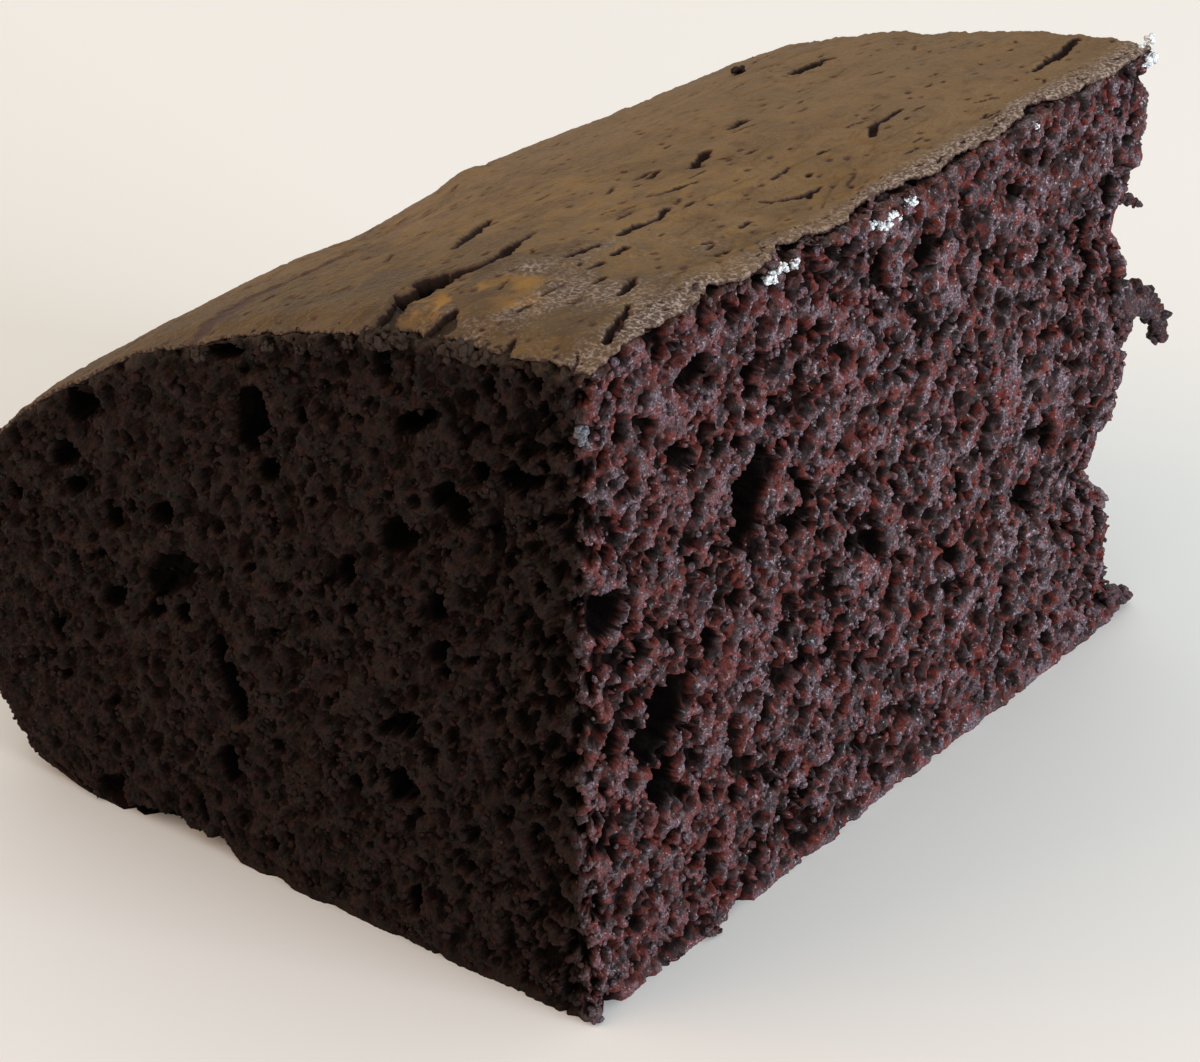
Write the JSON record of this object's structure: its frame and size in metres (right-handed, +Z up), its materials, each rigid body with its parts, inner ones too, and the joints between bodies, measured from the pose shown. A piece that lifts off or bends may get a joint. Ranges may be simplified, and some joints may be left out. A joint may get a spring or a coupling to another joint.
{
  "type": "piece of devils food cake",
  "caption": "Thick cut piece of dark chocolate sheet cake from the edge of the tin, unfrosted, with a domed cracked crust, open crumb on two cut faces and a torn end.",
  "frame": {"origin": "on the surface the piece stands on, under the centre of its bounding box", "axes": "+X towards the inner cut face, -X towards the side that stood against the tin, -Y towards the front cut face, +Y towards the torn end, +Z up"},
  "size_m": [0.052, 0.0636, 0.0454],
  "materials": {
    "crumb": "matte, moist open crumb",
    "crust": "satin baked crust"
  },
  "bodies": {
    "root": {"cake": "crumb"}
  },
  "joints": []
}
